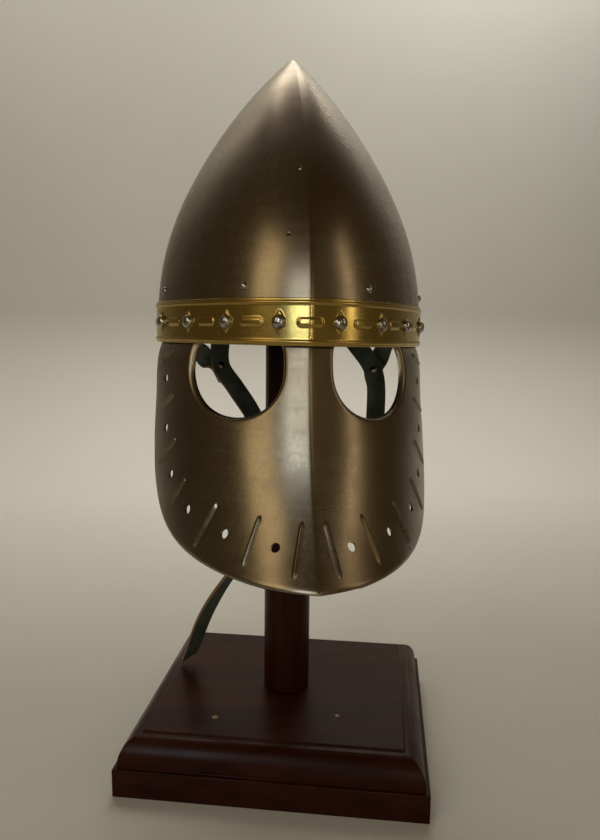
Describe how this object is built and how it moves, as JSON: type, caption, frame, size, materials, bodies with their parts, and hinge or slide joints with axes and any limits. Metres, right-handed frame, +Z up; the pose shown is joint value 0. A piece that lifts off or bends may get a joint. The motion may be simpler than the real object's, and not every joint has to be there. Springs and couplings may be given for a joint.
{
  "type": "spectacle guard helmet on a wooden stand",
  "caption": "Pointed keeled steel helmet with a brass brow band, rimmed eye guard and forked leather chin straps, resting on a round post with a moulded wooden base.",
  "frame": {"origin": "centre of the stand's underside", "axes": "+Z up; the helmet faces -Y, its left is +X, and the stand is turned 13.2 degrees clockwise under it"},
  "size_m": [0.2708, 0.3243, 0.5415],
  "materials": {
    "steel": "satin polished, warm brown patina",
    "brass": "polished, handled",
    "rivet_steel": "polished domes",
    "leather": "dark grey-green, matt",
    "ring_steel": "plain",
    "mahogany": "dark red gloss varnish"
  },
  "bodies": {
    "root": {"band_rivet_01": "rivet_steel", "band_rivet_02": "rivet_steel", "band_rivet_03": "rivet_steel", "band_rivet_04": "rivet_steel", "band_rivet_05": "rivet_steel", "band_rivet_06": "rivet_steel", "band_rivet_07": "rivet_steel", "band_rivet_08": "rivet_steel", "band_rivet_09": "rivet_steel", "band_rivet_10": "rivet_steel", "band_rivet_11": "rivet_steel", "band_rivet_12": "rivet_steel", "band_rivet_13": "rivet_steel", "band_rivet_14": "rivet_steel", "band_rivet_15": "rivet_steel", "band_rivet_16": "rivet_steel", "brow_band": "brass", "face_plate": "steel", "skull": "steel", "skull_rivet_back_left": "rivet_steel", "skull_rivet_back_right": "rivet_steel", "skull_rivet_front_left": "rivet_steel", "skull_rivet_front_right": "rivet_steel", "skull_rivet_side_left": "rivet_steel", "skull_rivet_side_right": "rivet_steel", "stand_base": "mahogany", "stand_post": "mahogany", "strap_left": "leather", "strap_left_side_leg": "leather", "strap_right": "leather", "strap_right_side_leg": "leather", "strap_ring": "ring_steel", "strap_rivet_fold": "rivet_steel", "strap_rivet_left": "rivet_steel", "strap_rivet_right": "rivet_steel"}
  },
  "joints": []
}
